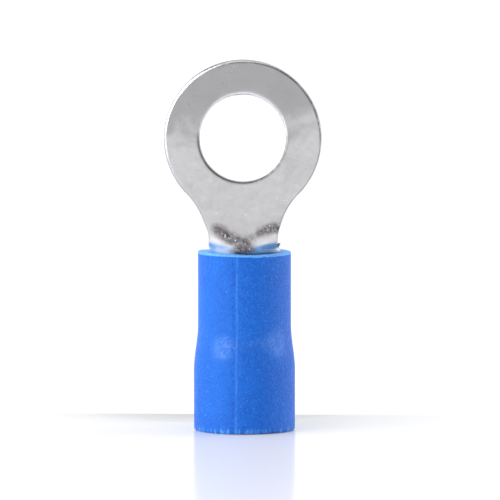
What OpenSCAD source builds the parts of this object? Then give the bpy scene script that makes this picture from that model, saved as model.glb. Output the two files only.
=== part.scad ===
// Pre-insulated ring terminal for a 1.5 to 2.5 mm2 wire and an M5 stud.
// One tinned copper stamping (ring, neck, rolled wire barrel) in one vinyl sleeve.
// The barrel axis is Z, the wire enters from below, the flush face of the ring looks towards -Y.
// The origin is at the middle of the sleeve's wire end.

/* [Ring] */
// Outside diameter of the ring
ring_d = 9.6; // [9:0.1:11]
// Stud hole, clearance for an M5 stud
hole_d = 5.3; // [4.3:0.1:5.5]
// Thickness of the sheet in the ring and neck
sheet_t = 0.8; // [0.7:0.05:0.9]
// Height of the middle of the ring above the top of the sleeve
ring_rise = 7.0; // [6.8:0.1:8]
// Rolled edge that the punch leaves round the front of the ring
edge_roll = 0.14; // [0.08:0.02:0.2]
// Rolled edge round the front of the stud hole
hole_roll = 0.24; // [0.1:0.02:0.3]

/* [Neck] */
// Width of the neck at its narrowest
neck_w = 4.3; // [4.1:0.05:4.5]
// Radius of the long curve from the ring into the neck
fillet_r = 4.4; // [4:0.1:4.8]
// Step of the flush face forward of the barrel
joggle = 0.1; // [0.06:0.02:0.16]

/* [Wire barrel] */
// Outside diameter of the rolled barrel
barrel_d = 4.1; // [4:0.05:4.2]
// Bore of the barrel, for the bare strands
barrel_bore = 2.3; // [2.1:0.05:2.4]
// Length of the barrel
barrel_l = 4.8; // [4.4:0.1:5.2]
// Depth of the line of the brazed seam
seam_depth = 0.1; // [0.05:0.01:0.15]

/* [Sleeve] */
// Length of the sleeve
sleeve_l = 11.0; // [10.5:0.1:12]
// Outside diameter at the neck, over the barrel
sleeve_d = 5.7; // [5.5:0.05:6]
// Outside diameter at the wire end
mouth_d = 6.2; // [6.05:0.05:6.6]
// Bore at the wire end, for the insulation of the wire
entry_bore = 4.7; // [4.5:0.05:4.8]
// Height at which the flare reaches its full width
flare_low = 3.7; // [3.2:0.1:4]
// Height at which the flare starts from the neck
flare_high = 6.5; // [6:0.1:6.6]

/* [Hidden] */
$fn = 96;

barrel_r = barrel_d / 2;
half_neck = neck_w / 2;
face_y = -(barrel_r + joggle);         // flush front face of the tongue
back_y = face_y + sheet_t;             // back face of the tongue
ring_z = sleeve_l + ring_rise;
ring_r = ring_d / 2;
barrel_top = sleeve_l + 0.2;
barrel_foot = barrel_top - barrel_l;

// Middle of each side curve, from the middle of the ring
side_x = half_neck + fillet_r;
side_z = -sqrt(pow(ring_r + fillet_r, 2) - side_x * side_x);
waist_z = ring_z + side_z;
neck_angle = atan2(side_x, -side_z);   // from straight down to where a side curve touches the ring
rim_r = ring_r - 0.8;

// Heights of the sections in which the flat sheet rolls up into the tube
roll_start = sleeve_l + 1.6;
roll_end = sleeve_l - 0.3;
lap = 0.15;

// 0 at one end and 1 at the other, with flat ends
function ease(t) = let(u = min(1, max(0, t))) u * u * (3 - 2 * u);
function mix(a, b, t) = a + (b - a) * t;

// Half width of the outline of the sheet at height z, seen from the front
function half_width(z) =
    z > waist_z
        ? side_x - sqrt(fillet_r * fillet_r - pow(z - waist_z, 2))
        : mix(barrel_r, half_neck, ease((z - roll_end) / (waist_z - roll_end)));

// Outer bend radius, angle that each side is rolled back, and flat half width at height z
function rolled(z) = (roll_start - z) / (roll_start - roll_end);
function bend_r(z) = mix(1.15, barrel_r, ease(rolled(z) * 1.15));
function roll_angle(z) = let(u = max(0, rolled(z))) min(179, 100 * u + 470 * pow(u, 5));
function flat_half(z) =
    half_width(z) - bend_r(z) * sin(min(90, roll_angle(z)));
function wall(z) = mix(sheet_t, (barrel_d - barrel_bore) / 2 + 0.03, ease(rolled(z) * 1.1));
function front_y(z) = mix(face_y, -barrel_r, ease(rolled(z) * 1.25 - 0.25));

// One rolled section of the sheet: the outside from left to right, then the inside back again.
// Points are spread evenly over the flat and the bend. inset and narrow keep the lapped ends
// just inside the tube below and the plate above.
half_n = 16;
levels = 14;
function sheet_pt(z, s, off) =
    let(f = max(0.02, flat_half(z)), r = bend_r(z), d = (f + r * roll_angle(z) * PI / 180) * s / half_n)
    d <= f
        ? [d, front_y(z) + off]
        : let(a = (d - f) / r * 180 / PI)
          [f + (r - off) * sin(a), front_y(z) + r - (r - off) * cos(a)];
function section(z, inset, narrow) =
    concat(
        [for (s = [-half_n : half_n])
            let(p = sheet_pt(z, abs(s), inset)) [narrow * sign(s) * p[0], p[1], z]],
        [for (s = [half_n : -1 : -half_n])
            let(p = sheet_pt(z, abs(s), wall(z) - inset)) [narrow * sign(s) * p[0], p[1], z]]
    );

// A closed solid through a list of sections. Each section is an outside run and an inside run
// of the same number of points, so its two ends are filled by strips between the runs.
module through(sections) {
    m = len(sections[0]);
    k = len(sections);
    top = (k - 1) * m;
    polyhedron(
        points = [for (s = sections) each s],
        faces = concat(
            [for (i = [0 : m / 2 - 2]) each [[i, i + 1, m - 2 - i], [i, m - 2 - i, m - 1 - i]]],
            [for (j = [0 : k - 2]) for (i = [0 : m - 1])
                each [[j * m + i, (j + 1) * m + (i + 1) % m, j * m + (i + 1) % m],
                      [j * m + i, (j + 1) * m + i, (j + 1) * m + (i + 1) % m]]],
            [for (i = [0 : m / 2 - 2])
                each [[top + i, top + m - 2 - i, top + i + 1], [top + i, top + m - 1 - i, top + m - 2 - i]]]
        ),
        convexity = 8
    );
}

// Profile of the part of the ring round the hole, with the hole's front edge rolled
module hole_profile() {
    difference() {
        translate([hole_d / 2, 0]) square([rim_r - hole_d / 2 + 0.2, sheet_t]);
        difference() {
            translate([hole_d / 2 - 1, -1]) square([1 + hole_roll, 1 + hole_roll]);
            translate([hole_d / 2 + hole_roll, hole_roll]) circle(r = hole_roll);
        }
    }
}

// Profile of the rim of the ring, with its front edge rolled
module rim_profile() {
    difference() {
        translate([rim_r, 0]) square([ring_r - rim_r, sheet_t]);
        difference() {
            translate([ring_r - edge_roll, -1]) square([1 + edge_roll, 1 + edge_roll]);
            translate([ring_r - edge_roll, edge_roll]) circle(r = edge_roll);
        }
    }
}

// A disc that cuts one side of the neck and leaves its front edge rolled
module side_cutter() {
    rotate_extrude($fn = 128) {
        translate([0, -1]) square([fillet_r, sheet_t + 2]);
        difference() {
            translate([0, -1]) square([fillet_r + edge_roll, 1 + edge_roll]);
            translate([fillet_r + edge_roll, edge_roll]) circle(r = edge_roll);
        }
    }
}

// Lays something drawn in the plan of the tongue, with its thickness along Z, upright
module upright() {
    translate([0, face_y, ring_z]) rotate([-90, 0, 0]) mirror([0, 1, 0]) children();
}

// The ring. Its rim stops at the two lines where the side curves of the neck touch it.
module ring_disc() {
    upright() {
        rotate_extrude($fn = 128) hole_profile();
        rotate([0, 0, neck_angle - 90])
            rotate_extrude(angle = 360 - 2 * neck_angle, $fn = 128) rim_profile();
    }
}

// Flat web between the ring and the rolled part
module neck_web() {
    foot = roll_start - ring_z - lap;
    in = rim_r / (ring_r + fillet_r);
    upright() difference() {
        linear_extrude(height = sheet_t)
            polygon([
                [-side_x * in, side_z * in], [side_x * in, side_z * in],
                [side_x, side_z], [half_neck + 1.2, foot], [-half_neck - 1.2, foot],
                [-side_x, side_z]
            ]);
        for (s = [-1, 1]) translate([s * side_x, side_z, 0]) side_cutter();
    }
}

module ring_terminal() {
    color("silver")
    difference() {
        union() {
            ring_disc();
            neck_web();
            through([for (i = [0 : levels])
                section(mix(roll_end - lap, roll_start + lap, i / levels),
                    i < 2 ? 0.06 : 0.015, i > levels - 2 ? 0.98 : 1)]);
            translate([0, 0, barrel_foot]) cylinder(r = barrel_r, h = roll_end - barrel_foot);
        }
        // wire bore
        translate([0, 0, barrel_foot - 1]) cylinder(d = barrel_bore, h = barrel_l + 3);
        // line of the brazed seam, down the back
        translate([-0.05, barrel_r - seam_depth, barrel_foot - 1]) cube([0.1, 1, barrel_l + 3]);
    }
}

module insulating_sleeve() {
    n = 16;
    neck_r = sleeve_d / 2;
    wide_r = mouth_d / 2;
    // outer surface up the S-shaped flare, then down the bore
    flare = [for (i = [0 : n]) let(t = i / n)
        [mix(wide_r, neck_r, ease(t)), mix(flare_low, flare_high, t)]];
    color("royalblue")
    rotate_extrude()
        polygon(concat(
            [[entry_bore / 2 + 0.1, 0], [wide_r - 0.12, 0], [wide_r - 0.03, 0.05], [wide_r, 0.16]],
            flare,
            [[neck_r, sleeve_l - 0.1], [neck_r - 0.03, sleeve_l - 0.03], [neck_r - 0.1, sleeve_l],
             [half_neck + 0.02, sleeve_l], [barrel_r, sleeve_l - 0.45],
             [barrel_r, barrel_foot - 0.05], [entry_bore / 2, flare_low], [entry_bore / 2, 0.1]]
        ));
}

ring_terminal();
insulating_sleeve();
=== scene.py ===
import math

import bpy
import numpy as np
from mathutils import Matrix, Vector, geometry, noise


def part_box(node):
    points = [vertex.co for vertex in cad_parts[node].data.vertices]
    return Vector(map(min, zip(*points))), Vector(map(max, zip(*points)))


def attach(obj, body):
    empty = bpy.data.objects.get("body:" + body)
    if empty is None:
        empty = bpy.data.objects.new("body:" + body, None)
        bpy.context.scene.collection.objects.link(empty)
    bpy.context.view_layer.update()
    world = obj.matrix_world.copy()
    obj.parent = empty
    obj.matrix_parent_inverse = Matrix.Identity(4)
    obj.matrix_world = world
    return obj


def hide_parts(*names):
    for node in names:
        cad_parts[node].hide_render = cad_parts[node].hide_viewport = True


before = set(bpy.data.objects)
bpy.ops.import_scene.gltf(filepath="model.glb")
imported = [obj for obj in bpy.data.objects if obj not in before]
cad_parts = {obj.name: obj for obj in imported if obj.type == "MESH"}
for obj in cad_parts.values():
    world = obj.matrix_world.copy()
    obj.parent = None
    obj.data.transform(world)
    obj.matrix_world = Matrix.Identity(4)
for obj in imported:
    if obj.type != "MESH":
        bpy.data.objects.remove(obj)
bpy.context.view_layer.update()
ring_lo, ring_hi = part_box("ring_terminal")
slv_lo, slv_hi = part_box("insulating_sleeve")
MM = 1000.0
scene = bpy.context.scene

# ---------------------------------------------------------------- sizes, in mm, the first few from the CAD boxes, the rest given
TOP = ring_hi.z * MM
RING_R = (ring_hi.x - ring_lo.x) / 2 * MM
RING_Z = TOP - RING_R
SLEEVE_L = slv_hi.z * MM
MOUTH_R = (slv_hi.x - slv_lo.x) / 2 * MM
FOOT = ring_lo.z * MM
HOLE_R = 2.65
T = 0.8
HALF_NECK = 2.15
FILLET = 4.4
BARREL_R = 2.05
BORE_R = 1.15
FACE_Y = -2.15
SIDE_X = HALF_NECK + FILLET
SIDE_Z = -math.sqrt((RING_R + FILLET) ** 2 - SIDE_X**2)
WAIST_Z = RING_Z + SIDE_Z
NECK_ANGLE = math.atan2(SIDE_X, -SIDE_Z)
ROLL_START = SLEEVE_L + 1.6
ROLL_END = SLEEVE_L - 0.3


def ease(t):
    t = np.clip(t, 0.0, 1.0)
    return t * t * (3 - 2 * t)


def mix(a, b, t):
    return a + (b - a) * t


def half_width(z):
    z = np.asarray(z, float)
    dz = np.clip(z - WAIST_Z, 0, FILLET * 0.999)
    up = SIDE_X - np.sqrt(FILLET**2 - dz**2)
    low = mix(BARREL_R, HALF_NECK + 0.06, ease((z - 10.45) / 0.5))
    low = mix(low, HALF_NECK, ease((z - 11.0) / (WAIST_Z - 11.0)))
    return np.where(z > WAIST_Z, up, low)


def rolled(z):
    late = 0.24 * ease((ROLL_START - z) / 0.7) * ease((z - 10.1) / 0.9)
    return (ROLL_START - z - late) / (ROLL_START - ROLL_END)


def bend_r(z):
    return mix(1.15, BARREL_R, ease(rolled(z) * 1.15))


def roll_angle(z):
    u = np.maximum(0, rolled(z))
    return np.radians(np.minimum(179.0, 100 * u + 470 * u**5))


def flat_half(z):
    f = half_width(z) - bend_r(z) * np.sin(np.minimum(math.pi / 2, roll_angle(z)))
    f = np.maximum(0.02, f)
    return np.where(z > ROLL_START, 99.0, f)


def wall(z):
    return mix(T, BARREL_R - BORE_R, ease(rolled(z) * 1.1))


def front_y(z):
    return mix(FACE_Y, -BARREL_R, ease(rolled(z) * 1.25 - 0.25))


def vnoise(x, y, z, seed=0.0):
    """Smooth noise, about -1 to 1, for arrays of points."""
    return np.array([noise.noise((a + seed, b - seed, c + 2 * seed)) for a, b, c in zip(x, y, z)])


def blob(x, z, cx, cz, rx, rz, turn=0.0):
    """A soft oval spot, 1 in the middle."""
    c, s = math.cos(turn), math.sin(turn)
    u = ((x - cx) * c + (z - cz) * s) / rx
    v = (-(x - cx) * s + (z - cz) * c) / rz
    return np.exp(-(u * u + v * v))


def bend_shade_and_craze(x, z):
    """Mask of the bent neck, two arms and a foot, stronger on the left: it carries the crazed grit of the plating and
    the painted shade of the bend.
    """
    spots = (
        (0.84, -1.50, 12.42, 0.52, 0.40, -0.3),
        (0.95, -1.15, 12.20, 0.56, 0.42, -0.6),
        (0.95, -0.78, 11.94, 0.56, 0.42, -0.6),
        (0.84, -0.30, 11.76, 0.50, 0.40, -0.6),
        (1.00, 0.04, 11.20, 0.74, 0.46, 0.0),
        (0.95, 0.06, 11.60, 0.56, 0.46, 0.0),
        (0.50, 0.58, 11.96, 0.44, 0.36, 0.6),
        (0.74, 1.12, 12.30, 0.50, 0.34, 0.6),
        (0.92, 1.62, 12.50, 0.54, 0.36, 0.35),
        (0.95, 2.02, 12.56, 0.38, 0.36, 0.1),
    )
    m = np.zeros(np.shape(x))
    for k, cx, cz, rx, rz, turn in spots:
        m = np.maximum(m, k * blob(x, z, cx, cz, rx, rz, turn))
    return m


def dimple(x, z):
    """How far each side of the neck is pressed back, beside the ridge left in the middle."""
    t = np.clip((np.where(x < 0, 11.58, 11.50) - z) / 0.75, 0, 1.3) ** 1.6
    side = ease((np.abs(x) - 0.35) / 1.0) * (1 - ease((np.abs(x) - 1.7) / 1.5))
    fade = ease((z - 10.3) / 0.6)
    return np.where(x < 0, 0.03, 0.11) * t * side * fade


def place(d, z, off):
    """A point of the sheet, d across and z up in the flat blank and off below its front face, put where the formed part has it."""
    s = np.where(d < 0, -1.0, 1.0)
    a = np.abs(d)
    r = bend_r(z)
    f = flat_half(z)
    th = np.maximum(0, (a - f) / r)
    over = a > f
    rr = r - off
    x = np.where(over, f + rr * np.sin(th), a)
    fy = front_y(z)
    y = np.where(over, fy + r - rr * np.cos(th), fy + off)
    return s * x, y, z


# ---------------------------------------------------------------- mesh helpers
def add_mesh(name, verts, faces, smooth=True):
    me = bpy.data.meshes.new(name)
    v = np.asarray(verts, float) / MM
    me.from_pydata(v.tolist(), [], [list(map(int, f)) for f in faces])
    me.validate()
    me.update()
    if smooth:
        me.polygons.foreach_set("use_smooth", [True] * len(me.polygons))
    ob = bpy.data.objects.new(name, me)
    scene.collection.objects.link(ob)
    return ob


def add_field(ob, name, values):
    at = ob.data.attributes.new(name, "FLOAT", "POINT")
    at.data.foreach_set("value", np.asarray(values, np.float32))


def resample(pts, step):
    pts = np.asarray(pts, float)
    closed = np.vstack([pts, pts[:1]])
    seg = np.hypot(*np.diff(closed, axis=0).T)
    cum = np.concatenate([[0], np.cumsum(seg)])
    n = int(round(cum[-1] / step))
    t = np.arange(n) * cum[-1] / n
    return np.column_stack([np.interp(t, cum, closed[:, 0]), np.interp(t, cum, closed[:, 1])])


def developed_half():
    """Right half of the outline of the flat blank, from the middle of its foot up to its top."""
    c = 0.32
    low_d = float(flat_half(np.array([FOOT]))[0] + bend_r(np.array([FOOT]))[0] * roll_angle(np.array([FOOT]))[0])
    out = [(x, FOOT) for x in np.linspace(0, low_d - c, 60)[:-1]]
    out += [(low_d - c + c * math.sin(a), FOOT + c - c * math.cos(a)) for a in np.linspace(0, math.pi / 2, 14)]
    zs = np.concatenate([np.linspace(FOOT + c + 0.05, 11.1, 50), np.linspace(11.12, ROLL_START, 260)])
    d = flat_half(zs - 1e-9) + bend_r(zs) * roll_angle(zs)
    d = np.where(zs >= ROLL_START - 1e-6, half_width(zs), d)
    # the top corners of the wings are rounded by the blanking punch
    out += [(a, b) for a, b in zip(d, zs)]
    tz = RING_Z - RING_R * math.cos(NECK_ANGLE)
    zs = np.linspace(ROLL_START + 0.01, tz, 60)
    out += [(a, b) for a, b in zip(half_width(zs), zs)]
    for a in np.linspace(NECK_ANGLE, math.pi, 160)[1:]:
        out.append((RING_R * math.sin(a), RING_Z - RING_R * math.cos(a)))
    return out


def smooth_loop(p, k):
    for _ in range(k):
        p = 0.25 * np.roll(p, 1, 0) + 0.5 * p + 0.25 * np.roll(p, -1, 0)
    return p


def make_terminal():
    right = developed_half()
    left = [(-x, z) for x, z in right[::-1]]
    loop = resample(right + left[1:-1], 0.066)
    n0 = len(loop)
    # only the wing corners are sharp, so smoothing is kept to them
    soft = smooth_loop(loop.copy(), 6)
    corner = (loop[:, 1] < 12.0)[:, None]
    loop = np.where(corner, soft, loop)
    loop[:, 1] = np.maximum(loop[:, 1], FOOT)
    nh = 300
    ang = np.arange(nh) * 2 * math.pi / nh
    hole = np.column_stack([HOLE_R * np.sin(ang), RING_Z - HOLE_R * np.cos(ang)])

    def inward(p, sign):
        t = np.roll(p, -1, 0) - np.roll(p, 1, 0)
        t /= np.linalg.norm(t, axis=1)[:, None]
        return np.column_stack([-t[:, 1], t[:, 0]]) * sign

    area = 0.5 * np.sum(loop[:, 0] * np.roll(loop[:, 1], -1) - np.roll(loop[:, 0], -1) * loop[:, 1])
    n_out = inward(loop, 1.0 if area > 0 else -1.0)
    n_hole = (hole - [0, RING_Z]) / HOLE_R
    bound = np.vstack([loop, hole])

    def dist(p):
        """Distance to the edge of the blank and the nearest edge point, in blocks to hold memory down."""
        best, who = np.empty(len(p)), np.empty(len(p), int)
        for i in range(0, len(p), 2000):
            q = p[i : i + 2000]
            dd = ((q[:, None, :] - bound[None]) ** 2).sum(2)
            who[i : i + 2000] = dd.argmin(1)
            best[i : i + 2000] = np.sqrt(dd.min(1))
        return best, who

    layers = [0.015, 0.035, 0.06, 0.09, 0.125, 0.165, 0.21, 0.27, 0.34]
    pts = []
    for L in layers:
        cand = np.vstack([loop + n_out * L, hole + n_hole * L])
        b, _ = dist(cand)
        pts.append(cand[b > L - 0.004])
    # even triangular grid inside
    h = 0.105
    grid = []
    z = FOOT + 0.3
    row = 0
    while z < TOP:
        xs = np.arange(-6.6, 6.6, h) + (h / 2 if row % 2 else 0)
        grid.append(np.column_stack([xs, np.full_like(xs, z)]))
        z += h * math.sqrt(3) / 2
        row += 1
    grid = np.vstack(grid)
    # inside the outline: even-odd by rows
    inside = np.zeros(len(grid), bool)
    a, bb = loop, np.roll(loop, -1, 0)
    for i in range(len(loop)):
        c = (a[i, 1] > grid[:, 1]) != (bb[i, 1] > grid[:, 1])
        if c.any():
            xc = a[i, 0] + (grid[c, 1] - a[i, 1]) / (bb[i, 1] - a[i, 1]) * (bb[i, 0] - a[i, 0])
            inside[np.where(c)[0]] ^= grid[c, 0] < xc
    rr = np.hypot(grid[:, 0], grid[:, 1] - RING_Z)
    grid = grid[inside & (rr > HOLE_R)]
    b, _ = dist(grid)
    grid = grid[b > layers[-1] + 0.06]
    # finer points where a sliver was raised beside the mouth, on the right
    zb = 11.45
    db = float(flat_half(np.array([zb]))[0] + bend_r(np.array([zb]))[0] * 1.42)
    ng = np.arange(-0.30, 0.301, 0.028)
    gx, gz = np.meshgrid(db + ng, zb + np.arange(-0.42, 0.36, 0.028))
    patch = np.column_stack([gx.ravel(), gz.ravel()])
    pb, _ = dist(patch)
    patch = patch[pb > 0.05]
    clear = ~((np.abs(grid[:, 0] - db) < 0.34) & (grid[:, 1] > zb - 0.46) & (grid[:, 1] < zb + 0.40))
    grid = np.vstack([grid[clear], patch])
    allp = np.vstack([bound] + pts + [grid])
    edges = [(i, (i + 1) % n0) for i in range(n0)] + [(n0 + i, n0 + (i + 1) % nh) for i in range(nh)]
    vs, _, tris, orig, _, _ = geometry.delaunay_2d_cdt([Vector(p) for p in allp.tolist()], edges, [], 0, 1e-6)
    vs = np.array([(v.x, v.y) for v in vs])
    tris = np.array([list(t) for t in tris])
    where = {}
    for i, o in enumerate(orig):
        for j in o:
            where[j] = i
    cen = vs[tris].mean(1)
    inside = np.zeros(len(cen), bool)
    for i in range(len(loop)):
        c = (a[i, 1] > cen[:, 1]) != (bb[i, 1] > cen[:, 1])
        if c.any():
            xc = a[i, 0] + (cen[c, 1] - a[i, 1]) / (bb[i, 1] - a[i, 1]) * (bb[i, 0] - a[i, 0])
            inside[np.where(c)[0]] ^= cen[c, 0] < xc
    hp = hole
    hb = np.roll(hole, -1, 0)
    in_hole = np.zeros(len(cen), bool)
    for i in range(nh):
        c = (hp[i, 1] > cen[:, 1]) != (hb[i, 1] > cen[:, 1])
        if c.any():
            xc = hp[i, 0] + (cen[c, 1] - hp[i, 1]) / (hb[i, 1] - hp[i, 1]) * (hb[i, 0] - hp[i, 0])
            in_hole[np.where(c)[0]] ^= cen[c, 0] < xc
    tris = tris[inside & ~in_hole]
    e1 = vs[tris[:, 1]] - vs[tris[:, 0]]
    e2 = vs[tris[:, 2]] - vs[tris[:, 0]]
    flip = (e1[:, 0] * e2[:, 1] - e1[:, 1] * e2[:, 0]) < 0
    tris[flip] = tris[flip][:, ::-1]

    D, who = dist(vs)
    near = bound[who]
    is_hole = who >= n0
    # how far the punch rolled the front edge over, all round
    pa = np.arctan2(near[:, 0], near[:, 1] - RING_Z)  # 0 at the top, + to the right

    def bump(a, c, w):
        k = np.abs((a - c + math.pi) % (2 * math.pi) - math.pi) / w
        return ease(1 - k)

    wob = vnoise(near[:, 0] * 1.3, near[:, 1] * 1.3, near[:, 0] * 0, 3.1)
    wob2 = vnoise(near[:, 0] * 6, near[:, 1] * 6, near[:, 0] * 0, 7.7)
    roll_h = 0.08 + 0.23 * bump(pa, 0.15, 1.95)
    roll_o = 0.10 + 0.13 * bump(pa, -0.70, 1.5) + 0.05 * bump(pa, -1.9, 0.8)
    low = ease((13.6 - near[:, 1]) / 1.5)
    roll_o = mix(roll_o, 0.10, low)
    roll = np.where(is_hole, roll_h, roll_o) * (1 + 0.14 * wob + 0.03 * wob2)
    e = np.clip(1 - D / roll, 0, 1)
    drop = roll * 0.9 * (1 - np.sqrt(np.maximum(0, 1 - e**2)))
    # the punched face is a little proud and ragged at the back
    back_roll = 0.05 + 0.012 * wob2
    eb = np.clip(1 - D / back_roll, 0, 1)
    drop_b = back_roll * (1 - np.sqrt(np.maximum(0, 1 - eb**2)))

    # painted shade: dark lines on the rolled edge along the lower half of the hole and the upper right of the outer
    # edge
    low_half = ease((np.abs(pa) - 1.35) / 0.35)
    hole_shade_line = 1.25 * np.exp(-((D / 0.115) ** 2)) * low_half * np.clip(0.85 + 0.3 * wob2 - 0.12 * np.sin(pa), 0, 1)
    right = bump(pa, 1.27, 0.42) ** 0.5
    outer_shade_line = np.exp(-((D / 0.10) ** 2)) * right * np.clip(0.75 + 0.9 * wob2, 0, 1)
    painted_shade = np.where(is_hole, hole_shade_line, outer_shade_line)
    # painted highlight: the rolled edge is lighter on the upper left of the outer edge and the top of the hole, where
    # it faces the key light
    level = np.where(is_hole, 0.36 + 0.34 * bump(pa, 0.1, 1.8), 0.40 + 0.60 * bump(pa, -0.60, 1.30) ** 0.5)
    burnish_and_sheen = np.clip(1.5 * e, 0, 1) * level * (1 - np.clip(painted_shade * 1.5, 0, 1))
    # the very edge is a thin grey line, partly the grey cut edge and partly painted shade, darker on the lower half of
    # the hole
    rimline = np.exp(-((D / 0.078) ** 4)) * np.where(is_hole, 0.08 + 0.32 * low_half, 0.95 + 0.4 * wob2 * bump(pa, 1.0, 0.9))
    # painted shade: the rolled edge on the left is darkened so the key light's reflection there comes out dimmer
    dimmed_roll = np.clip(1.5 * e, 0, 1) * bump(pa, -1.95, 1.15) ** 0.6
    rimline = np.clip(np.maximum(rimline, np.where(is_hole, 0.0, 0.62 * dimmed_roll)), 0, 1)

    d, z = vs[:, 0], vs[:, 1]
    # very slight waviness of the face, and the crazed bend
    warp = 0.010 * vnoise(d * 0.55, z * 0.55, d * 0, 1.7) + 0.0025 * vnoise(d * 2.2, z * 2.2, d * 0, 5.2)
    band = bend_shade_and_craze(d, z) * ease((z - 10.6) / 0.3)
    grit = vnoise(d * 7, z * 7, d * 0, 2.4) + 0.7 * vnoise(d * 15, z * 15, d * 0, 9.4)
    fine = 0.5 * vnoise(d * 13, z * 13, d * 0, 4.4)
    lean = dimple(d, z) - 0.03 * blob(d, z, 0.1, 11.3, 0.8, 0.6)
    lean -= (front_y(z) - FACE_Y) * 0.75 * ease((-d - 0.2) / 0.8) * ease((3.2 + d) / 0.8) * ease((z - 10.9) / 0.5)
    # a sliver of tin raised on the right edge just above the mouth, with a nick under it; the nick and stripes across
    # the sliver are painted dark as shadow
    at_right = (d > 0) & ~is_hole
    sliver = at_right * np.exp(-((D / 0.085) ** 2)) * ease((zb + 0.17 - z) / 0.05) * ease((z - zb + 0.16) / 0.06)
    groove = at_right * np.exp(-(((D - 0.05) / 0.06) ** 2)) * ease((zb - 0.05 - z) / 0.08) * ease((z - 10.9) / 0.1)
    off_f = drop + warp + lean + band * (0.014 * grit + 0.006 * fine) - 0.08 * sliver + 0.05 * groove
    off_b = wall(z) - drop_b + warp * 0.6 + lean
    out_d = 0.17 * sliver * (0.8 + 0.5 * np.sin(z * 30))
    F = np.column_stack(place(d + out_d, z, off_f))
    B = np.column_stack(place(d + out_d * 0.4, z, off_b))
    nv = len(vs)
    verts = [F, B]
    faces = [tris, tris[:, ::-1] + nv]
    bnd = np.array([band, band * 0.0]).ravel()
    kind = [np.zeros(nv), np.zeros(nv)]
    # painted shadow: stripes across the sliver and the nick under it are painted dark
    flake = ease((sliver - 0.10) / 0.2) * (np.sin(z * 42 + D * 30) > 0.0)
    shade_marks = [np.clip(painted_shade + groove * 1.6 + flake, 0, 1), eb * 0.0]
    lines = [rimline, np.zeros(nv)]
    # painted highlight: the flanks of the neck below the crazed bend are painted near white, most on the left, where
    # the key light reflects
    flank_highlight = ease((12.35 - np.abs(d) * 0.10 - z) / 0.5) * ease((np.abs(d) - 0.25) / 0.5) * (1 - band) * np.where(d < 0, 0.85, 0.16)
    flank_highlights = [flank_highlight, np.zeros(nv)]
    hazy = [flank_highlight * np.where(d < 0, ease((d + 2.1) / 0.5), 1.4), np.zeros(nv)]
    shinec = [burnish_and_sheen, np.zeros(nv)]
    devx = [d, d]

    # cut edge: burnished near the front, torn behind, between the two rolled edges
    count = 2 * nv
    for first, n, norm in ((0, n0, n_out), (n0, nh, n_hole)):
        idx = np.array([where[first + i] for i in range(n)])
        p = bound[first : first + n]
        rows = [idx]
        k = 9
        for j in range(1, k):
            t = j / k
            torn = ease((t - 0.35) / 0.12)
            rag = vnoise(p[:, 0] * 11, p[:, 1] * 11, np.full(n, t * 3.0), 4.0)
            rag2 = vnoise(p[:, 0] * 3, p[:, 1] * 3, np.full(n, t * 1.0), 8.0)
            inset = torn * (0.012 + 0.012 * rag + 0.008 * rag2) + 0.0015
            q = p + norm * inset[:, None]
            o = mix(off_f[idx], off_b[idx], t)
            verts.append(np.column_stack(place(q[:, 0] + out_d[idx] * (1 - 0.6 * t), q[:, 1], o)))
            bnd = np.concatenate([bnd, np.zeros(n)])
            kind.append(np.full(n, 0.35 + 0.65 * torn))
            edge_right = bump(np.arctan2(p[:, 0], p[:, 1] - RING_Z), 1.27, 0.42) ** 0.5 if first == 0 else low_half[idx] * 0.9
            shade_marks.append(edge_right * np.clip(0.8 + 0.8 * rag, 0, 1))
            devx.append(p[:, 0])
            shinec.append(np.full(n, 0.6 * (1 - torn)))
            lines.append(np.full(n, 0.7 * (1 - torn)))
            flank_highlights.append(np.zeros(n))
            hazy.append(np.zeros(n))
            rows.append(np.arange(count, count + n))
            count += n
        rows.append(idx + nv)
        for r0, r1 in zip(rows[:-1], rows[1:]):
            a0, a1 = r0, np.roll(r0, -1)
            b0, b1 = r1, np.roll(r1, -1)
            # both walls run the same way round, so the wall of the hole is turned to face outwards
            turn = -1 if first == 0 else 1
            faces.append(np.column_stack([a0, a1, b1])[:, ::turn])
            faces.append(np.column_stack([a0, b1, b0])[:, ::turn])
    V = np.vstack(verts)
    Fc = np.vstack(faces)
    V[:, 2] = np.clip(V[:, 2], FOOT, TOP)
    # the left flank was folded a little tighter
    V[:, 0] += 0.10 * np.exp(-(((V[:, 2] - 12.15) / 0.55) ** 2)) * ease((-V[:, 0] - 1.2) / 0.9)
    ob = add_mesh("stamped_terminal", V, Fc)
    add_field(ob, "band", bnd)
    add_field(ob, "cut", np.concatenate(kind))
    add_field(ob, "painted_shade", np.concatenate(shade_marks))
    add_field(ob, "across", np.concatenate(devx))
    add_field(ob, "burnish_and_sheen", np.concatenate(shinec))
    add_field(ob, "rimline", np.concatenate(lines))
    add_field(ob, "flank_highlight", np.concatenate(flank_highlights))
    add_field(ob, "haze", np.concatenate(hazy))
    return ob


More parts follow.
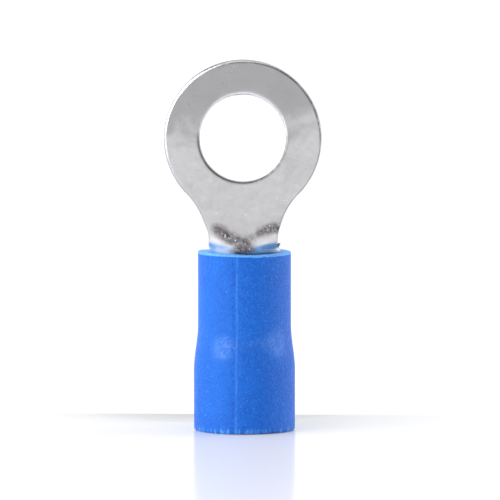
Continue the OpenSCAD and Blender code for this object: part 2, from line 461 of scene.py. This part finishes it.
# ---------------------------------------------------------------- the vinyl sleeve
def make_sleeve():
    neck_r, entry_r = 2.85, 2.35
    low_z, high_z = 3.7, 6.5
    prof = []  # radius, height, tag: outside from the foot up, over the mouth, down the bore
    def add(r, z, tag):
        prof.append((r, z, tag))
    for t in np.linspace(0, 1, 9):
        a = t * math.pi / 2
        add(MOUTH_R - 0.11 + 0.11 * math.sin(a), 0.13 - 0.13 * math.cos(a), 0)
    for z in np.arange(0.2, low_z, 0.07):
        add(MOUTH_R, z, 0)
    for t in np.linspace(0, 1, 44):
        add(mix(MOUTH_R, neck_r, float(ease(t))), mix(low_z, high_z, t), 0)
    for z in np.arange(high_z + 0.07, SLEEVE_L - 0.14, 0.075):
        add(neck_r, z, 0)
    for t in np.linspace(0, 1, 9):
        a = t * math.pi / 2
        add(neck_r - 0.10 + 0.10 * math.cos(a), SLEEVE_L - 0.10 + 0.10 * math.sin(a), 1)
    for t in np.linspace(0.12, 1, 6):
        add(mix(neck_r - 0.10, 2.30, t), SLEEVE_L, 1)
    for t in np.linspace(0.2, 1, 7):
        a = t * math.pi / 2
        add(2.30 - 0.07 * math.sin(a), SLEEVE_L - 0.07 + 0.07 * math.cos(a), 2)
    for t in np.linspace(0.1, 1, 8):
        add(mix(2.23, BARREL_R + 0.012, t), mix(SLEEVE_L - 0.07, SLEEVE_L - 0.5, t), 2)
    for z in np.linspace(SLEEVE_L - 0.6, FOOT - 0.05, 26):
        add(BARREL_R + 0.012, z, 3)
    for t in np.linspace(0.05, 1, 18):
        add(mix(BARREL_R, entry_r, t), mix(FOOT - 0.05, low_z, t), 3)
    for z in np.linspace(low_z - 0.15, 0.2, 20):
        add(entry_r, z, 3)
    for t in np.linspace(0, 1, 6):
        a = t * math.pi / 2
        add(entry_r + 0.1 - 0.1 * math.cos(a), 0.1 - 0.1 * math.sin(a), 4)
    for t in np.linspace(0.2, 0.85, 4):
        add(mix(entry_r + 0.1, MOUTH_R - 0.11, t), 0.0, 4)
    P = np.array(prof)
    m, n = len(P), 300
    th = np.arange(n) * 2 * math.pi / n  # 0 at the front, + towards the right
    R = np.repeat(P[:, 0][:, None], n, 1)
    Z = np.repeat(P[:, 1][:, None], n, 1)
    TH = np.repeat(th[None], m, 0)
    tag = P[:, 2][:, None]
    nx, ny = np.sin(TH), -np.cos(TH)
    flat = lambda f, s: vnoise((nx * 2.9 * f).ravel(), (ny * 2.9 * f).ravel(), (Z * f).ravel(), s).reshape(m, n)
    outer = (tag == 0) | (tag == 1)
    # long soft waves in the wall, a moulding line, and the ripple where the bore opens out
    dR = np.zeros_like(R)
    dR -= 0.010 * (0.5 + 0.5 * flat(0.45, 1.3)) * (tag == 0)
    dR -= 0.0030 * (0.5 + 0.5 * flat(2.2, 6.3)) * (tag == 0)
    flare = np.exp(-(((Z - 5.1) / 0.75) ** 2))
    dR -= 0.006 * (0.5 + 0.5 * flat(4.6, 2.3)) * flare * (tag == 0)

    def dth(c):
        return (TH - c + math.pi) % (2 * math.pi) - math.pi

    wander = 0.005 * np.sin(Z * 1.7) + 0.002 * np.sin(Z * 5.1 + 1)
    line = dth(-0.105) + wander
    uneven = np.clip(0.55 + 0.8 * flat(3.0, 4.3), 0, 1)
    dR += (0.010 * np.exp(-((line / 0.011) ** 2)) * uneven - 0.016 * np.exp(-(((line + 0.045) / 0.018) ** 2)) * np.clip(0.2 + flat(5.5, 3.3), 0, 1)) * (tag == 0)
    line2 = dth(0.21) + wander
    dR -= 0.007 * np.exp(-((line2 / 0.02) ** 2)) * (tag == 0) * ease((3.0 - Z) / 2)
    dR = np.minimum(dR, 0.0) - 0.0005
    # knife marks round the wire end
    rng = np.random.RandomState(11)
    knife = np.zeros(n)
    for _ in range(105):
        c = rng.rand() * 2 * math.pi
        w = 0.009 + 0.010 * rng.rand()
        k = np.abs((th - c + math.pi) % (2 * math.pi) - math.pi) / w
        knife += (0.4 + 0.6 * rng.rand()) * np.exp(-(k**2))
    reach = ease((0.42 - Z) / 0.42)
    dR -= 0.018 * np.clip(knife, 0, 1.4)[None] * reach * ((tag == 0) | (tag == 4))
    # the mouth was cut by hand: its rim rises and falls a little and is ragged
    rim = ease((Z - (SLEEVE_L - 0.55)) / 0.55)
    foot_cut = 0.012 * (0.5 + 0.5 * np.cos(th)) + 0.020 * (0.5 + 0.5 * np.sin(th - 0.4)) + 0.012 * np.sin(3 * th + 0.5)
    foot_cut = np.clip(foot_cut, 0, None)
    cut = 0.020 * np.sin(th - 0.6) + 0.018 * np.sin(2 * th + 0.8) + 0.012 * np.sin(5 * th)
    rag = np.array([noise.noise((math.sin(a) * 9, math.cos(a) * 9, 3.0)) for a in th])
    rag2 = np.array([noise.noise((math.sin(a) * 30, math.cos(a) * 30, 5.0)) for a in th])
    dZ = -(0.055 + cut + 0.016 * rag + 0.010 * rag2)[None] * rim
    R = R + dR
    dZ += foot_cut[None] * ease((0.9 - Z) / 0.9)
    Z = np.clip(Z + dZ, 0.0, SLEEVE_L)
    X, Y = R * np.sin(TH), -R * np.cos(TH)
    V = np.column_stack([X.ravel(), Y.ravel(), Z.ravel()])
    faces = []
    for i in range(m):
        a = i * n
        b = ((i + 1) % m) * n
        for j in range(n):
            k = (j + 1) % n
            faces.append((a + j, a + k, b + k, b + j))
    ob = add_mesh("vinyl_sleeve", V, faces)
    add_field(ob, "line", (np.exp(-((line / 0.018) ** 2)) * (tag == 0)).ravel())
    add_field(ob, "dots", (np.exp(-(((line + 0.075) / 0.045) ** 2)) * (tag == 0)).ravel())
    add_field(ob, "flare", (flare * (tag == 0)).ravel())
    add_field(ob, "rim", ((tag == 1) | (tag == 2)).astype(float).repeat(n, 1).ravel())
    height = 0.16 + 0.26 * np.abs(np.sin(th * 41))[None]
    add_field(ob, "knife", (np.clip(knife, 0, 1.2)[None] * ease((height - Z) / 0.16) * (tag == 0)).ravel())
    add_field(ob, "foot", (ease((0.35 - Z) / 0.35) * (tag == 0)).ravel())
    flare_highlight = np.exp(-((dth(-0.42) / 0.26) ** 2) - ((Z - 5.25) / 0.75) ** 2) + 0.85 * np.exp(-((dth(0.82) / 0.30) ** 2) - ((Z - 5.45) / 0.95) ** 2) + 0.35 * np.exp(-((dth(0.25) / 0.35) ** 2) - ((Z - 5.5) / 0.45) ** 2)
    add_field(ob, "flare_highlight", (flare_highlight * (tag == 0)).ravel())
    return ob


# ---------------------------------------------------------------- materials
class Nodes:
    def __init__(self, name):
        self.mat = bpy.data.materials.new(name)
        self.mat.use_nodes = True
        self.t = self.mat.node_tree
        self.b = self.t.nodes["Principled BSDF"]

    def new(self, kind, **kw):
        n = self.t.nodes.new(kind)
        for k, v in kw.items():
            setattr(n, k, v)
        return n

    def link(self, a, b):
        self.t.links.new(a, b)

    def pos(self, scale=(1, 1, 1)):
        tc = self.new("ShaderNodeTexCoord")
        mp = self.new("ShaderNodeMapping")
        mp.inputs["Scale"].default_value = [s * MM for s in scale]
        self.link(tc.outputs["Object"], mp.inputs["Vector"])
        return mp.outputs["Vector"]

    def turned(self, vec, degrees, scale):
        """Coordinates turned about Y and then stretched, for marks that run at a slant."""
        a = self.new("ShaderNodeMapping")
        a.inputs["Rotation"].default_value = (0, math.radians(degrees), 0)
        self.link(vec, a.inputs["Vector"])
        b = self.new("ShaderNodeMapping")
        b.inputs["Scale"].default_value = scale
        self.link(a.outputs["Vector"], b.inputs["Vector"])
        return b.outputs["Vector"]

    def noise(self, vec, scale, detail=3.0, rough=0.55, dist=0.0):
        n = self.new("ShaderNodeTexNoise")
        n.inputs["Scale"].default_value = scale
        n.inputs["Detail"].default_value = detail
        n.inputs["Roughness"].default_value = rough
        n.inputs["Distortion"].default_value = dist
        self.link(vec, n.inputs["Vector"])
        return n.outputs["Fac"]

    def field(self, name):
        n = self.new("ShaderNodeAttribute", attribute_name=name)
        return n.outputs["Fac"]

    def math(self, op, a, b=None, clamp=False):
        n = self.new("ShaderNodeMath", operation=op, use_clamp=clamp)
        for i, v in enumerate((a, b)):
            if v is None:
                continue
            if isinstance(v, (int, float)):
                n.inputs[i].default_value = v
            else:
                self.link(v, n.inputs[i])
        return n.outputs[0]

    def ramp(self, fac, lo, hi, a=0.0, b=1.0):
        n = self.new("ShaderNodeMapRange", interpolation_type="SMOOTHSTEP")
        n.inputs["From Min"].default_value = lo
        n.inputs["From Max"].default_value = hi
        n.inputs["To Min"].default_value = a
        n.inputs["To Max"].default_value = b
        self.link(fac, n.inputs["Value"])
        return n.outputs["Result"]

    def mixc(self, fac, a, b, mode="MIX"):
        n = self.new("ShaderNodeMix", data_type="RGBA", blend_type=mode)
        if isinstance(fac, (int, float)):
            n.inputs["Factor"].default_value = fac
        else:
            self.link(fac, n.inputs["Factor"])
        for key, v in (("A", a), ("B", b)):
            s = [i for i in n.inputs if i.name == key and i.type == "RGBA"][0]
            if isinstance(v, (tuple, list)):
                s.default_value = (*v, 1.0)
            else:
                self.link(v, s)
        return [o for o in n.outputs if o.type == "RGBA"][0]

    def bump(self, height, strength, distance, normal=None):
        n = self.new("ShaderNodeBump")
        n.inputs["Strength"].default_value = strength
        n.inputs["Distance"].default_value = distance / MM
        self.link(height, n.inputs["Height"])
        if normal is not None:
            self.link(normal, n.inputs["Normal"])
        return n.outputs["Normal"]


def tin():
    m = Nodes("tinned_copper")
    p = m.pos()
    sep = m.new("ShaderNodeSeparateXYZ")
    m.link(p, sep.inputs[0])
    x, y, z = sep.outputs
    cloud = m.noise(p, 0.55, 4, 0.55, 0.4)
    mott = m.noise(p, 2.2, 4, 0.6, 0.6)
    grain = m.noise(p, 14, 3, 0.6)
    # painted shade: the upper half of the face is painted darker, with a slanted, cloudy edge, for the dimmer
    # reflection it takes there
    h = m.math("ADD", z, m.math("MULTIPLY", m.math("SUBTRACT", cloud, 0.5), 6.0))
    h = m.math("SUBTRACT", h, m.math("MULTIPLY", x, 0.14))
    upper_shade = m.ramp(h, 17.5, 19.9)
    col = m.mixc(upper_shade, (0.69, 0.69, 0.705), (0.435, 0.43, 0.44))
    col = m.mixc(m.ramp(mott, 0.35, 0.75, 0.0, 0.30), col, (0.45, 0.45, 0.46))
    col = m.mixc(m.ramp(grain, 0.4, 0.8, 0.0, 0.10), col, (0.92, 0.92, 0.93))
    haze = m.noise(p, 0.9, 3, 0.5, 0.2)
    col = m.mixc(m.ramp(haze, 0.50, 0.72, 0.0, 0.22), col, (0.42, 0.42, 0.43))
    # edges rolled over by the punch are burnished, and painted lighter where they face the key light (painted
    # highlight)
    burnish_sheen = m.field("burnish_and_sheen")
    col = m.mixc(m.ramp(burnish_sheen, 0.15, 0.75, 0.0, 0.95), col, (0.92, 0.92, 0.93))
    # painted highlight on the neck flanks, where the key light reflects
    flank_highlight = m.field("flank_highlight")
    col = m.mixc(m.math("MULTIPLY", flank_highlight, 0.9), col, (0.95, 0.95, 0.96))
    col = m.mixc(m.math("MULTIPLY", m.field("rimline"), 0.85), col, (0.22, 0.225, 0.25))
    # the bent neck: painted shade over the crazed bend, and light specks on it as painted glints
    band = m.field("band")
    crack = m.noise(p, 4.4, 6, 0.72, 0.7)
    wide = m.math("ADD", band, m.math("MULTIPLY", m.math("SUBTRACT", crack, 0.5), 0.9))
    dark = m.math("MULTIPLY", m.ramp(m.math("MULTIPLY", wide, m.ramp(band, 0.02, 0.22)), 0.06, 0.78), m.ramp(crack, 0.38, 0.66, 1.0, 0.70), clamp=True)
    col = m.mixc(dark, col, m.mixc(m.ramp(m.noise(p, 5.0, 3, 0.6), 0.36, 0.66), (0.072, 0.063, 0.066), (0.215, 0.190, 0.195)))
    speck = m.new("ShaderNodeTexVoronoi")
    speck.inputs["Scale"].default_value = 5.2
    m.link(p, speck.inputs["Vector"])
    sp = m.math("MULTIPLY", m.ramp(speck.outputs["Distance"], 0.14, 0.24, 1.0, 0.0), m.ramp(band, 0.20, 0.5))
    sp = m.math("MULTIPLY", sp, m.ramp(m.noise(p, 3.3, 2), 0.46, 0.54))
    col = m.mixc(sp, col, (0.95, 0.95, 0.95))
    # torn copper shows through the tin on the cut edge
    cut = m.field("cut")
    torn = m.math("MULTIPLY", m.ramp(cut, 0.6, 1.0), m.ramp(m.noise(p, 5, 4, 0.7), 0.35, 0.7, 0.3, 0.8))
    col = m.mixc(torn, col, (0.36, 0.32, 0.30))
    # painted shade and shadow: dark lines along the rolled edges and in the nick by the mouth
    painted_shade = m.field("painted_shade")
    col = m.mixc(m.math("MULTIPLY", painted_shade, 0.88), col, (0.09, 0.085, 0.085))
    m.link(col, m.b.inputs["Base Color"])
    m.b.inputs["Metallic"].default_value = 1.0
    rough = m.ramp(mott, 0.3, 0.75, 0.27, 0.40)
    rough = m.math("ADD", rough, m.math("MULTIPLY", band, 0.10))
    rough = m.math("SUBTRACT", rough, m.math("MULTIPLY", burnish_sheen, 0.08))
    rough = m.math("ADD", rough, m.math("MULTIPLY", cut, 0.10))
    rough = m.math("ADD", rough, m.math("MULTIPLY", m.field("haze"), 0.34))
    m.link(rough, m.b.inputs["Roughness"])
    # brushed in no direction: fine grain, a few handling scratches, and grit on the bend
    scr = m.ramp(m.noise(m.turned(p, 35, (9.0, 1.0, 0.5)), 2.6, 2, 0.6), 0.60, 0.70)
    n1 = m.bump(grain, 0.16, 0.008)
    n2 = m.bump(m.noise(p, 30, 2), 0.14, 0.003, n1)
    rub = m.new("ShaderNodeVectorMath", operation="DISTANCE")
    m.link(p, rub.inputs[0])
    rub.inputs[1].default_value = (3.5, -2.15, 16.8)
    n3 = m.bump(m.math("MULTIPLY", scr, m.ramp(rub.outputs["Value"], 0.3, 0.9, 1.0, 0.0)), 0.5, 0.006, n2)
    n4 = m.bump(m.math("MULTIPLY", crack, band), 0.9, 0.05, n3)
    n5 = m.bump(m.math("MULTIPLY", m.noise(p, 16, 4, 0.7), cut), 0.6, 0.03, n4)
    m.link(n5, m.b.inputs["Normal"])
    return m.mat


def vinyl():
    m = Nodes("blue_vinyl")
    p = m.pos()
    soft = m.noise(p, 0.5, 3, 0.5)
    mott = m.noise(p, 5.0, 4, 0.65, 0.3)
    orange = m.noise(p, 6.0, 3, 0.6)
    fine = m.noise(p, 11.5, 2, 0.6)
    col = m.mixc(m.ramp(soft, 0.3, 0.7), (0.0030, 0.124, 0.61), (0.0043, 0.146, 0.68))
    col = m.mixc(m.ramp(mott, 0.42, 0.74, 0.0, 0.42), col, (0.002, 0.086, 0.50))
    col = m.mixc(m.ramp(fine, 0.52, 0.72, 0.0, 0.50), col, (0.04, 0.25, 0.86))
    sx = m.new("ShaderNodeSeparateXYZ")
    m.link(p, sx.inputs[0])
    # painted shading of the grain: the light and dark specks below are stronger on the right, where light rakes across
    # the vinyl
    raking_grain_shade = m.ramp(sx.outputs[0], -0.9, 0.4, 0.22, 1.0)
    pale = m.ramp(m.noise(p, 7.5, 3, 0.65), 0.53, 0.65)
    col = m.mixc(m.math("MULTIPLY", m.math("MULTIPLY", pale, raking_grain_shade), 0.44), col, (0.05, 0.28, 0.92))
    deep = m.ramp(m.noise(m.turned(p, 35, (1.0, 1.0, 2.2)), 6.5, 3, 0.65), 0.42, 0.62)
    col = m.mixc(m.math("MULTIPLY", m.math("MULTIPLY", deep, raking_grain_shade), 0.52), col, (0.001, 0.074, 0.46))
    # light specks of filler
    v = m.new("ShaderNodeTexVoronoi")
    v.inputs["Scale"].default_value = 1.9
    m.link(p, v.inputs["Vector"])
    speck = m.math("MULTIPLY", m.ramp(v.outputs["Distance"], 0.05, 0.15, 1.0, 0.0), m.ramp(m.noise(p, 0.7, 2), 0.50, 0.60))
    col = m.mixc(m.math("MULTIPLY", speck, 0.34), col, (0.18, 0.46, 0.98))
    # painted highlight: paler patches on the flare where the lights reflect
    flare_highlight = m.field("flare_highlight")
    streaky = m.turned(p, 42, (1.2, 1.2, 4.5))
    col = m.mixc(m.math("MULTIPLY", m.math("MULTIPLY", m.ramp(flare_highlight, 0.12, 0.75), 0.34), m.ramp(m.noise(streaky, 2.2, 3, 0.6), 0.34, 0.62, 1.25, 0.35)), col, (0.17, 0.40, 0.98))
    line, dots, rim, foot = m.field("line"), m.field("dots"), m.field("rim"), m.field("foot")
    streak = m.new("ShaderNodeMapping")
    streak.inputs["Scale"].default_value = (4.0, 4.0, 0.9)
    m.link(p, streak.inputs["Vector"])
    broken = m.ramp(m.noise(streak.outputs["Vector"], 1.5, 3, 0.65), 0.30, 0.56, 0.25, 1.0)
    col = m.mixc(m.math("MULTIPLY", line, m.math("MULTIPLY", broken, 0.46)), col, (0.07, 0.33, 0.98))
    dot = m.math("MULTIPLY", dots, m.ramp(orange, 0.48, 0.60))
    col = m.mixc(m.math("MULTIPLY", dot, 0.60), col, (0.002, 0.060, 0.44))
    # cut faces at the mouth are paler, partly the cut plastic and partly a painted highlight along the rim
    rag = m.ramp(m.noise(p, 7, 3, 0.7), 0.4, 0.65)
    col = m.mixc(m.math("MULTIPLY", rim, m.math("ADD", 0.60, m.math("MULTIPLY", rag, 0.35))), col, (0.16, 0.50, 1.0))
    strokes = m.new("ShaderNodeMapping")
    strokes.inputs["Scale"].default_value = (3.2, 3.2, 0.25)
    m.link(p, strokes.inputs["Vector"])
    st = m.ramp(m.noise(strokes.outputs["Vector"], 1.6, 2, 0.6), 0.50, 0.62)
    col = m.mixc(m.math("MULTIPLY", m.field("knife"), m.ramp(st, 0.0, 1.0, 0.65, 0.95)), col, (0.17, 0.52, 1.0))
    m.link(col, m.b.inputs["Base Color"])
    m.b.inputs["Specular IOR Level"].default_value = 0.24
    m.b.inputs["Subsurface Weight"].default_value = 0.0
    rough = m.math("SUBTRACT", m.ramp(mott, 0.3, 0.8, 0.40, 0.52), m.math("MULTIPLY", flare_highlight, 0.10))
    m.link(rough, m.b.inputs["Roughness"])
    flare = m.field("flare")
    rip = m.noise(m.turned(p, 42, (1.3, 1.3, 4.0)), 1.6, 3, 0.65)
    n1 = m.bump(orange, 1.0, 0.070)
    n2 = m.bump(fine, 1.0, 0.040, n1)
    graze = m.math("MULTIPLY", m.noise(m.turned(p, 35, (1.2, 1.2, 5.0)), 1.9, 3, 0.6), m.ramp(sx.outputs[0], 0.2, 1.6))
    n2 = m.bump(graze, 0.9, 0.045, n2)
    n3 = m.bump(m.math("MULTIPLY", rip, flare), 1.0, 0.09, n2)
    n4 = m.bump(m.math("MULTIPLY", st, foot), 0.5, 0.03, n3)
    m.link(n4, m.b.inputs["Normal"])
    return m.mat


def floor_material():
    m = Nodes("studio_floor")
    p = m.pos()
    sep = m.new("ShaderNodeSeparateXYZ")
    m.link(p, sep.inputs[0])
    x, y = sep.outputs[0], sep.outputs[1]
    # painted shadow: a soft grey patch on the floor behind the object, with a hard rear edge, dying away to each side
    shade = m.math("POWER", m.ramp(y, -5.0, 10.5, 0.0, 1.0), 1.3)
    behind = m.ramp(y, 8.5, 8.8, 1.0, 0.0)
    x = m.math("ADD", x, 2.5)
    wide = m.math("EXPONENT", m.math("MULTIPLY", m.math("MULTIPLY", x, x), -1.0 / 95))
    painted_floor_shade = m.math("MULTIPLY", m.math("MULTIPLY", shade, behind), wide)
    col = m.mixc(painted_floor_shade, (0.80, 0.80, 0.805), (0.47, 0.47, 0.47))
    far = m.new("ShaderNodeVectorMath", operation="LENGTH")
    m.link(p, far.inputs[0])
    m.link(m.ramp(far.outputs["Value"], 120.0, 420.0, 0.055, 0.42), m.b.inputs["Emission Strength"])
    m.b.inputs["Emission Color"].default_value = (0.98, 0.98, 1.0, 1)
    m.link(col, m.b.inputs["Base Color"])
    m.b.inputs["Roughness"].default_value = 0.16
    # the floor's gloss is taken away under the painted shadow, to darken it further at a low view
    gloss = m.math("MULTIPLY", m.ramp(y, -48.0, -2.0, 0.022, 0.075), m.ramp(far.outputs["Value"], 120.0, 400.0, 1.0, 0.0))
    m.link(m.math("MULTIPLY", gloss, m.ramp(painted_floor_shade, 0.0, 0.6, 1.0, 0.0)), m.b.inputs["Specular IOR Level"])
    return m.mat


metal = make_terminal()
metal.data.materials.append(tin())
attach(metal, "root")
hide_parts("ring_terminal")

sleeve = make_sleeve()
sleeve.data.materials.append(vinyl())
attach(sleeve, "root")
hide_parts("insulating_sleeve")

# ---------------------------------------------------------------- stage, light and camera
bpy.ops.mesh.primitive_plane_add(size=6.0, location=(0, 0, 0))
floor = bpy.context.object
floor.name = "studio_floor"
floor.data.materials.append(floor_material())

world = bpy.data.worlds.new("studio")
scene.world = world
world.use_nodes = True
wt = world.node_tree
bg = wt.nodes["Background"]
out = wt.nodes["World Output"]
bg.inputs["Color"].default_value = (0.985, 0.985, 1.0, 1)
bg.inputs["Strength"].default_value = 1.0
room = wt.nodes.new("ShaderNodeBackground")
tc = wt.nodes.new("ShaderNodeTexCoord")
sp = wt.nodes.new("ShaderNodeSeparateXYZ")
wt.links.new(tc.outputs["Generated"], sp.inputs[0])


def wmap(v, lo, hi, a, b):
    n = wt.nodes.new("ShaderNodeMapRange")
    n.interpolation_type = "SMOOTHSTEP"
    for k, x in (("From Min", lo), ("From Max", hi), ("To Min", a), ("To Max", b)):
        n.inputs[k].default_value = x
    wt.links.new(v, n.inputs["Value"])
    return n.outputs["Result"]


back = wmap(sp.outputs[1], -0.15, 0.35, 0.0, 1.0)
up = wmap(sp.outputs[2], 0.15, 0.75, 0.35, 0.22)
side = wmap(sp.outputs[0], -0.3, 0.40, 1.35, 0.42)
front = wt.nodes.new("ShaderNodeMath")
front.operation = "MULTIPLY"
wt.links.new(up, front.inputs[0])
wt.links.new(side, front.inputs[1])
lv = wt.nodes.new("ShaderNodeMix")
lv.data_type = "FLOAT"
wt.links.new(back, lv.inputs[0])
wt.links.new(front.outputs[0], lv.inputs[2])
lv.inputs[3].default_value = 1.0
wt.links.new(lv.outputs[0], room.inputs["Strength"])
room.inputs["Color"].default_value = (0.99, 0.99, 1.0, 1)
lp = wt.nodes.new("ShaderNodeLightPath")
mx = wt.nodes.new("ShaderNodeMixShader")
wt.links.new(lp.outputs["Is Camera Ray"], mx.inputs[0])
wt.links.new(room.outputs[0], mx.inputs[1])
wt.links.new(bg.outputs[0], mx.inputs[2])
wt.links.new(mx.outputs[0], out.inputs["Surface"])


def panel(name, azimuth, elevation, dist, w, h, radiance, aim=(0, 0, 0.011)):
    """A soft box. Azimuth 0 is straight in front and + is to the right."""
    a, e = math.radians(azimuth), math.radians(elevation)
    at = Vector((math.sin(a) * math.cos(e), -math.cos(a) * math.cos(e), math.sin(e))) * dist + Vector(aim)
    L = bpy.data.lights.new(name, "AREA")
    L.shape = "RECTANGLE"
    L.size, L.size_y = w, h
    L.energy = radiance * math.pi * w * h
    o = bpy.data.objects.new(name, L)
    o.location = at
    o.rotation_mode = "QUATERNION"
    o.rotation_quaternion = (at - Vector(aim)).to_track_quat("Z", "Y")
    o.visible_camera = False
    scene.collection.objects.link(o)
    return o


panel("key_left", -61, 22, 0.60, 0.74, 0.56, 3.25)
panel("top_soft", 10, 80, 0.60, 0.5, 0.5, 1.3)
panel("rim_right", 108, 16, 0.60, 0.36, 0.6, 3.3)
panel("spot_left", -44, 12, 0.55, 0.10, 0.12, 11.0)
panel("spot_right", 84, 12, 0.55, 0.09, 0.16, 9.0)

AZ, EL, DIST, WIDE = 3.4, 5.0, 0.500, 0.03058
a, e = math.radians(AZ), math.radians(EL)
back_dir = Vector((math.sin(a) * math.cos(e), -math.cos(a) * math.cos(e), math.sin(e)))
right_dir = Vector((math.cos(a), math.sin(a), 0))
aim = Vector((0, 0, 0.01103)) + right_dir * 0.000336
cam_data = bpy.data.cameras.new("camera")
cam_data.sensor_width = 36.0
cam_data.lens = 36.0 * DIST / WIDE
cam_data.clip_start, cam_data.clip_end = 0.01, 50
cam = bpy.data.objects.new("camera", cam_data)
cam.location = aim + back_dir * DIST
cam.rotation_mode = "QUATERNION"
cam.rotation_quaternion = back_dir.to_track_quat("Z", "Y")
scene.collection.objects.link(cam)
scene.camera = cam
scene.view_settings.view_transform = "Standard"
scene.view_settings.look = "None"

print("triangles", {o.name: sum(len(q.vertices) - 2 for q in o.data.polygons) for o in (metal, sleeve)})
